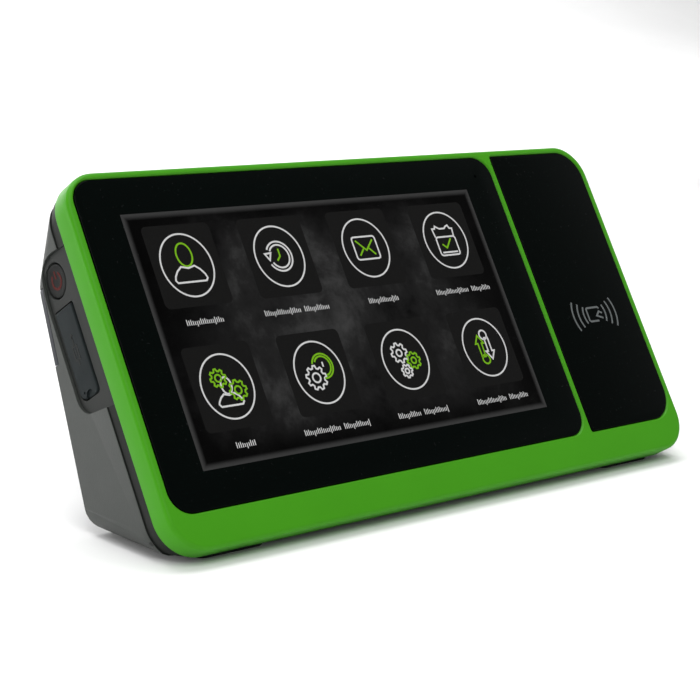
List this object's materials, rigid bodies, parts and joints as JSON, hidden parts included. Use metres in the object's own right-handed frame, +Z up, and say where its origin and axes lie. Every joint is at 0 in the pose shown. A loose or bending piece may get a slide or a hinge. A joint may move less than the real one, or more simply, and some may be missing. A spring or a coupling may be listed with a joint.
{
  "type": "contactless card terminal",
  "caption": "Desk-standing access terminal: leaning wide touch display and card reader field in a green frame, wedge-shaped grey rear cover, side power button and port flap.",
  "frame": {"origin": "middle of the whole part's footprint box, on the surface that it stands on", "axes": "+X to the right seen from the front, the display faces -Y and up, +Z up"},
  "size_m": [0.24, 0.0794, 0.1113],
  "materials": {
    "green_frame": "satin moulded plastic, leaf green",
    "cover_glass": "gloss black-backed touch glass",
    "reader_glass": "gloss black-backed glass",
    "gasket_tape": "black foam tape",
    "lcd_module": "display panel",
    "circuit_board": "green solder mask",
    "cover_plastic": "fine spark texture, dark grey",
    "button_plastic": "fine spark texture, dark grey",
    "plate_plastic": "satin, blue black",
    "flap_rubber": "matt moulded rubber",
    "foot_rubber": "matt rubber",
    "jack_plastic": "satin black",
    "inner_plastic": "satin black",
    "battery_wrap": "blue film over a pouch pack",
    "bracket_metal": "pressed sheet",
    "tinned_steel": "tinned sheet",
    "socket_shell": "plated sheet",
    "standoff_brass": "turned",
    "screw_steel": "zinc plated"
  },
  "bodies": {
    "housing": {"front_frame": "green_frame", "cover_glass": "cover_glass", "glass_gasket": "gasket_tape", "reader_panel": "reader_glass", "reader_gasket": "gasket_tape", "lcd_module": "lcd_module", "reader_board": "circuit_board", "microphone": "tinned_steel", "display_bracket": "bracket_metal", "main_board": "circuit_board", "processor_shield": "tinned_steel", "clock_cell": "tinned_steel", "network_jack": "jack_plastic", "power_jack": "jack_plastic", "rear_cover": "cover_plastic", "rear_mount_plate": "plate_plastic", "button_switch": "inner_plastic", "side_board": "circuit_board", "usb_socket": "socket_shell", "service_socket": "socket_shell", "port_board": "circuit_board", "battery_pack": "battery_wrap", "battery_cradle": "inner_plastic", "speaker": "inner_plastic", "bracket_screw_1": "screw_steel", "bracket_screw_2": "screw_steel", "bracket_screw_3": "screw_steel", "bracket_screw_4": "screw_steel", "standoff_1": "standoff_brass", "board_screw_1": "screw_steel", "standoff_2": "standoff_brass", "board_screw_2": "screw_steel", "standoff_3": "standoff_brass", "board_screw_3": "screw_steel", "standoff_4": "standoff_brass", "board_screw_4": "screw_steel", "cover_screw_1": "screw_steel", "cover_screw_2": "screw_steel", "cover_screw_3": "screw_steel", "cover_screw_4": "screw_steel", "rubber_foot_1": "foot_rubber", "rubber_foot_2": "foot_rubber", "rubber_foot_3": "foot_rubber", "rubber_foot_4": "foot_rubber"},
    "power_button": {"power_button": "button_plastic"},
    "port_cover": {"port_cover": "flap_rubber"}
  },
  "joints": [
    {"name": "power_button_press", "type": "slide", "parent": "housing", "child": "power_button", "axis": [1, 0, 0], "range_m": [0, 0.0008], "stiffness_N_per_m": 1500},
    {"name": "port_cover_hinge", "type": "hinge", "parent": "housing", "child": "port_cover", "pos_m": [-0.118, 0.02353, 0.06917], "axis": [0, 0.848, -0.5299], "range_deg": [0, 100]}
  ]
}
